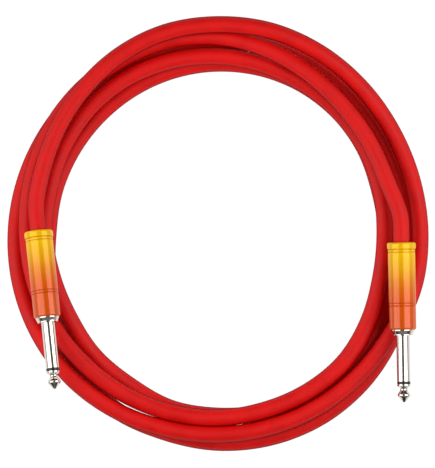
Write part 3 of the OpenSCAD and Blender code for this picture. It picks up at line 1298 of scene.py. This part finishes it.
@dataclass
class PlugBody:
    """The plug's body in one piece: threaded boss, collar and shaft, bored through."""

    boss_at: float = 35.6
    boss: float = 10.64
    collar_at: float = 41.2
    collar_rear: float = 11.2
    collar_flat: float = 0.5
    collar_middle: float = 1.3
    collar_front: float = 9.6
    collar_face: float = 0.4
    shaft_at: float = 43.8
    shaft: float = 6.35
    shaft_edge: float = 0.06
    ring_at: float = 65.65
    bore: float = 4.3
    bore_edge: float = 0.1
    thread_at: float = 0.45
    thread_short: float = 1.3
    thread_pitch: float = 1.0
    thread_depth: float = 0.42
    ridge_sunk: float = 0.52
    ridge_width: float = 0.9
    ridge_room: float = 0.02
    runout: float = 0.5
    runout_slope: float = 0.2
    runout_depth: float = 0.12
    runout_end: float = 0.05

    def profile(self) -> Profile:
        """Draws the body.

        Returns:
            Its outline, outside from the boss to the ring and back inside.
        """
        root = self.boss / 2 - self.thread_depth
        bore, shaft = self.bore / 2, self.shaft / 2
        rear, front = self.collar_rear / 2, self.collar_front / 2
        flat = (self.collar_at + self.collar_flat, rear)
        middle = (self.collar_at + self.collar_middle, (rear + front) / 2)
        face = (self.shaft_at - self.collar_face, front)
        runout = self.collar_at - self.runout
        neck = root - self.runout_depth
        made = Profile()
        made.line((self.boss_at, bore + self.bore_edge))
        made.rounded(0.3, (self.boss_at, bore), (self.boss_at, root),
                     (self.collar_at, root))
        made.line((runout - self.runout_slope, root), (runout, neck),
                  (self.collar_at - self.runout_end, neck))
        made.rounded(0.13, (self.collar_at, root), (self.collar_at, rear), flat, middle)
        made.rounded(0.3, flat, middle, face)
        made.rounded(0.16, middle, face, (self.shaft_at, front), (self.shaft_at, shaft))
        made.rounded(0.2, (self.shaft_at, front), (self.shaft_at, shaft),
                     (self.ring_at, shaft))
        made.line((self.ring_at - self.shaft_edge, shaft),
                  (self.ring_at, shaft - self.shaft_edge),
                  (self.ring_at, bore), (self.boss_at, bore))
        return made

    def thread(self) -> Helix:
        """Winds the ridge of the boss's thread, which stands on its root.

        Returns:
            The ridge.
        """
        length = self.collar_at - self.boss_at - self.thread_short
        return Helix(
            radius=self.boss / 2 - self.thread_depth * self.ridge_sunk,
            length=length,
            turns=length / self.thread_pitch,
            count=1,
            width=self.ridge_width,
            thickness=self.thread_depth * 2 - self.ridge_room,
            steps=64,
            corners=4,
        )


@dataclass
class Tip:
    """The tip contact and the black ring and tube that keep it off the shaft."""

    shaft: float = 6.35
    ring_at: float = 65.65
    ring: float = 1.2
    ring_back: float = 0.02
    ring_edge: float = 0.08
    base: float = 1.1
    base_edge: float = 0.32
    tip: float = 6.2
    end: float = 75.55
    rod: float = 2.2
    tube: float = 4.2
    tube_from: float = 34.8
    tube_edge: float = 0.1
    rivet_from: float = 32.2
    rivet: float = 3.2
    rivet_edge: Pair = (0.08, 0.25)
    lug_at: float = 32.7
    # From the base to the point: how far out, of the ball, and how far along.
    turned: tuple[Pair, ...] = (
        (0.8, 0.035), (0.7, 0.065), (0.635, 0.1), (0.59, 0.14), (0.575, 0.175),
        (0.58, 0.21), (0.605, 0.245), (0.65, 0.285), (0.71, 0.325), (0.785, 0.365),
        (0.86, 0.405), (0.92, 0.445), (0.965, 0.485), (0.99, 0.515), (1.0, 0.545),
        (0.99, 0.585), (0.955, 0.625), (0.89, 0.665), (0.8, 0.705), (0.27, 0.94),
        (0.235, 0.962), (0.19, 0.982), (0.12, 0.995), (0.0, 1.0),
    )

    def insulator(self) -> Profile:
        """Draws the black ring with its tube behind it.

        Returns:
            Their outline, outside from rear to front.
        """
        front, rod, tube = self.ring_at + self.ring, self.rod / 2, self.tube / 2
        out = self.shaft / 2 - self.ring_back
        made = Profile()
        made.line((self.tube_from, rod), (self.tube_from, tube - self.tube_edge),
                  (self.tube_from + self.tube_edge, tube), (self.ring_at, tube))
        made.rounded(self.ring_edge, (self.ring_at, tube), (self.ring_at, out),
                     (front, out), (front, rod))
        made.line((front, rod))
        return made

    def contact(self) -> Profile:
        """Draws the tip contact.

        Returns:
            Its outline: rivet, rod, base, neck, ball and blunt point.
        """
        shaft, rod, rivet = self.shaft / 2, self.rod / 2, self.rivet / 2
        base = self.ring_at + self.ring
        head, long = base + self.base, self.end - base - self.base
        small, large = self.rivet_edge
        made = Profile()
        made.line((self.rivet_from, 0.0), (self.rivet_from, rivet - large),
                  (self.rivet_from + small, rivet - small),
                  (self.rivet_from + large, rivet),
                  (self.lug_at, rivet), (self.lug_at, rod), (base, rod))
        made.rounded(self.base_edge, (base, rod), (base, shaft), (head, shaft),
                     (head + 0.06 * long, shaft * 0.7))
        made.line(*((head + z * long, r * self.tip / 2) for r, z in self.turned))
        return made


@dataclass
class Plug:
    """One plug: the pieces that are made here, and CAD nodes that keep their form."""

    side: Side
    finishes: Finishes
    barrel: Barrel = field(default_factory=Barrel)
    body: PlugBody = field(default_factory=PlugBody)
    tip: Tip = field(default_factory=Tip)
    core_from: float = -5.5
    braid_to: float = 16.0
    wire_to: float = 26.6
    pigtail_to: float = 22.0
    pigtail_up: float = -3.2
    pieces: list[bpy.types.Object] = field(default_factory=list)

    def name(self, part: str) -> str:
        """The CAD node's name for a part on this side."""
        return f"{self.side.value}_{part}"

    def put(self, piece: bpy.types.Object, slot: str, body: str, *nodes: str) -> None:
        """Dresses a piece, makes it ride and lets it stand for its nodes.

        Args:
            piece: The piece.
            slot: The slot of its finish.
            body: The CAD body that it rides.
            nodes: The CAD nodes that it replaces.
        """
        self.finishes.dress(piece, slot)
        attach(piece, body)
        if nodes:
            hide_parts(*nodes)
        self.pieces.append(piece)

    def turned(self, part: str, profile: Profile, slot: str, body: str) -> None:
        """Turns a profile into the piece that stands for a node.

        Args:
            part: The node's name without its side.
            profile: Its outline.
            slot: The slot of its finish.
            body: The CAD body that it rides.
        """
        name = f"{self.name(part)}_turned"
        piece = finished(name, profile.turned(), LIES[self.side].matrix())
        self.put(piece, slot, body, self.name(part))

    def wound(
        self,
        part: str,
        helices: Sequence[Helix],
        slot: str,
        start: float,
        up: float = 0.0,
        replaced: str | None = None,
    ) -> None:
        """Makes a piece of one or more helices.

        Args:
            part: The piece's name without its side.
            helices: Its helices.
            slot: The slot of its finish.
            start: Where they start along the axis.
            up: How far above the axis they run.
            replaced: The node that it stands for, without its side.
        """
        whole = bmesh.new()
        for helix in helices:
            mesh = helix.mesh(self.finishes.material(slot))
            mesh.transform(Matrix.Translation((0.0, up, start)))
            data = bpy.data.meshes.new("strand")
            mesh.to_mesh(data)
            mesh.free()
            whole.from_mesh(data)
            bpy.data.meshes.remove(data)
        for face in whole.faces:
            face.material_index = 0
        piece = finished(self.name(part), whole, LIES[self.side].matrix())
        nodes = [self.name(replaced)] if replaced else []
        self.put(piece, slot, "root", *nodes)

    def build(self) -> list[bpy.types.Object]:
        """Builds and dresses the whole plug.

        Returns:
            Its pieces, CAD nodes among them.
        """
        rides = self.name("barrel_body")
        self.turned("barrel", self.barrel.profile(), "barrel_paint", rides)
        self.turned("plug_shaft", self.body.profile(), "nickel", "root")
        thread_at = self.body.boss_at + self.body.thread_at
        self.wound("boss_thread", [self.body.thread()], "nickel", thread_at)
        self.turned("tip_insulator", self.tip.insulator(), "black_plastic", "root")
        self.turned("tip_contact", self.tip.contact(), "nickel", "root")
        self.stranded()
        kept = {
            "insulating_sleeve": "clear_plastic",
            "ground_lug": "brass",
            "rear_insulator": "fibre",
            "tip_lug": "brass",
            "conductive_layer": "conductive_plastic",
            "core_insulation": "insulation_pe",
            "tip_solder": "solder",
            "ground_solder": "solder",
        }
        nodes = frame["nodes"]
        self.pieces += [self.finishes.dress(nodes[self.name(p)], kept[p]) for p in kept]
        return self.pieces

    def stranded(self) -> None:
        """Braid, core wire and pigtail, each of real copper strands."""
        length = self.braid_to - self.core_from
        braid = [
            Helix(radius=2.5, length=length, turns=1.3, count=12, width=0.95,
                  thickness=0.14, hand=hand, steps=26)
            for hand in Hand
        ]
        self.wound("braid_strands", braid, "copper", self.core_from,
                   replaced="shield_braid")
        outer = Helix(radius=0.295, length=self.wire_to - self.core_from, turns=4.0,
                      count=6, width=0.3, thickness=0.3, hand=Hand.LEFT_HAND, steps=12)
        middle = replace(outer, radius=STRAIGHT, count=1, steps=6)
        self.wound("core_strands", [outer, middle], "copper", self.core_from,
                   replaced="core_wire")
        outer = Helix(radius=0.52, length=self.pigtail_to - self.braid_to, turns=1.6,
                      count=6, width=0.55, thickness=0.55, steps=16)
        middle = replace(outer, radius=STRAIGHT, count=1, width=0.6, thickness=0.6,
                         steps=8)
        self.wound("pigtail_strands", [outer, middle], "copper", self.braid_to,
                   self.pigtail_up, "shield_pigtail")


# ---------------------------------------------------------------------------
# Studio
# ---------------------------------------------------------------------------


@dataclass
class Studio:
    """The table, the soft boxes and the camera straight above them.

    The picture's centre and height are in millimetres, the room's sizes in metres.
    """

    centre: Pair = (-0.128, -0.336)
    high: float = 220.75
    camera_up: float = 0.9
    clip: Pair = (0.01, 20.0)
    table: float = 6.0
    top: str = "#525254"
    glow: float = 0.97
    rim_glow: float = 0.4
    glow_reach: Pair = (0.155, 0.3)
    reach: float = 0.775
    box_length: float = 0.75
    # Each soft box: name, side, edges in degrees from straight up, brightness.
    boxes: tuple[tuple[str, float, float, float, float], ...] = (
        ("left soft box", -1.0, 20, 76, 2.38),
        ("right soft box", 1.0, 20, 67, 3.0),
    )
    surround: str = "#F4F4F3"
    lamp: str = "#FFF9F2"
    wall: float = 0.5
    wall_from: Pair = (0.78, 0.95)
    room: tuple[Pair, ...] = (
        (0.0, 0.02), (0.28, 0.04), (0.5, 0.24), (0.8, 0.2), (0.97, 0.12),
    )

    def camera(self) -> None:
        """Makes the camera, level, looking straight down."""
        data = bpy.data.cameras.new("camera above")
        data.type = "ORTHO"
        data.sensor_fit = "VERTICAL"
        data.ortho_scale = self.high * MM
        data.clip_start, data.clip_end = self.clip
        made = linked("camera above", data)
        made.location = (self.centre[0] * MM, self.centre[1] * MM, self.camera_up)
        bpy.context.scene.camera = made

    def floor(self) -> None:
        """Makes the white table top."""
        half = self.table / 2
        data = bpy.data.meshes.new("table top")
        signs = ((-1, -1), (1, -1), (1, 1), (-1, 1))
        corners = [(x * half, y * half, 0) for x, y in signs]
        data.from_pydata(corners, [], [(0, 1, 2, 3)])
        made = linked("table_top", data)
        paint = bpy.data.materials.new("white table")
        node = partial(add, emptied(paint))
        # Lit from below as well: white round the lead, and fainter toward its rim.
        place = node("ShaderNodeTexCoord").outputs["Object"]
        away = node("ShaderNodeVectorMath", {"operation": "LENGTH"}, {0: place})
        glow = node(
            "ShaderNodeMapRange",
            {
                "interpolation_type": "SMOOTHSTEP",
                "From Min": self.glow_reach[0],
                "From Max": self.glow_reach[1],
                "To Min": self.glow,
                "To Max": self.rim_glow,
            },
            {"Value": away.outputs["Value"]},
        )
        matt = node(
            "ShaderNodeBsdfPrincipled",
            {
                "Base Color": srgb(self.top),
                "Roughness": 0.9,
                "Specular IOR Level": 0.0,
                "Emission Color": srgb("#FFFFFF"),
            },
            {"Emission Strength": glow.outputs["Result"]},
        )
        node("ShaderNodeOutputMaterial", links={"Surface": matt.outputs["BSDF"]})
        data.materials.append(paint)

    def box(
        self, name: str, side: float, near: float, far: float, radiance: float
    ) -> None:
        """Hangs one soft box beside the table, facing its middle.

        Args:
            name: The light's name.
            side: -1 for the left, 1 for the right.
            near: Degrees from straight above the middle to its upper edge.
            far: Degrees from straight above the middle to its lower edge.
            radiance: How bright its face is, where a white sheet in full light is 1.
        """
        data = bpy.data.lights.new(name, "AREA")
        data.shape = "RECTANGLE"
        half = math.radians((far - near) / 2)
        data.size, data.size_y = self.box_length, 2 * self.reach * math.tan(half)
        data.energy = radiance * math.pi * data.size * data.size_y
        made = linked(name, data)
        away = math.radians((far + near) / 2)
        place = self.reach * Vector((side * math.sin(away), 0.0, math.cos(away)))
        made.location = place
        made.rotation_mode = "QUATERNION"
        made.rotation_quaternion = place.to_track_quat("Z", "Y")
        made.visible_camera = False

    def world(self) -> None:
        """Makes the room: dark overhead and behind, paler walls left and right."""
        made = bpy.data.worlds.new("quiet room")
        bpy.context.scene.world = made
        node = partial(add, emptied(made))
        looked = node("ShaderNodeTexCoord").outputs["Generated"]
        towards = node("ShaderNodeSeparateXYZ", links={"Vector": looked}).outputs
        heights = {"stops": [(z, (v, v, v, 1.0)) for z, v in self.room]}
        room = node("ShaderNodeValToRGB", heights, {"Fac": towards["Z"]})
        absolute = {"operation": "ABSOLUTE"}
        sideways = node("ShaderNodeMath", absolute, {0: towards["X"]})
        start, end = self.wall_from
        ends = {"From Min": start, "From Max": end, "To Min": 0.0, "To Max": self.wall}
        far = {"Value": sideways.outputs["Value"]}
        walls = node("ShaderNodeMapRange", ends, far)
        both = {0: room.outputs["Color"], 1: walls.outputs["Result"]}
        total = node("ShaderNodeMath", {"operation": "ADD"}, both)
        colour, light = {"Color": srgb(self.lamp)}, {"Strength": total.outputs["Value"]}
        dim = node("ShaderNodeBackground", colour, light)
        plain = {"Color": srgb(self.surround), "Strength": 1.0}
        pale = node("ShaderNodeBackground", plain)
        # Only the camera sees the pale surround; the lead is lit by the room.
        seen = node("ShaderNodeLightPath").outputs["Is Camera Ray"]
        parts = {0: seen, 1: dim.outputs[0], 2: pale.outputs[0]}
        chosen = node("ShaderNodeMixShader", links=parts)
        node("ShaderNodeOutputWorld", links={"Surface": chosen.outputs[0]})

    def light(self) -> None:
        """Hangs the soft boxes, makes the room and sets plain colour handling."""
        for box in self.boxes:
            self.box(*box)
        self.world()
        view = bpy.context.scene.view_settings
        view.view_transform, view.look = "Standard", "None"
        view.exposure, view.gamma = 0.0, 1.0


def main() -> None:
    logging.basicConfig(level=logging.INFO, format="%(message)s", stream=sys.stdout)
    studio = Studio()
    studio.camera()
    finishes = Finishes()
    lead = SignalLead()
    jacket, line = lead.build(finishes)
    plugs = {side: Plug(side, finishes).build() for side in Side}
    lead.declare()
    studio.floor()
    studio.light()


if __name__ == "__main__":
    main()
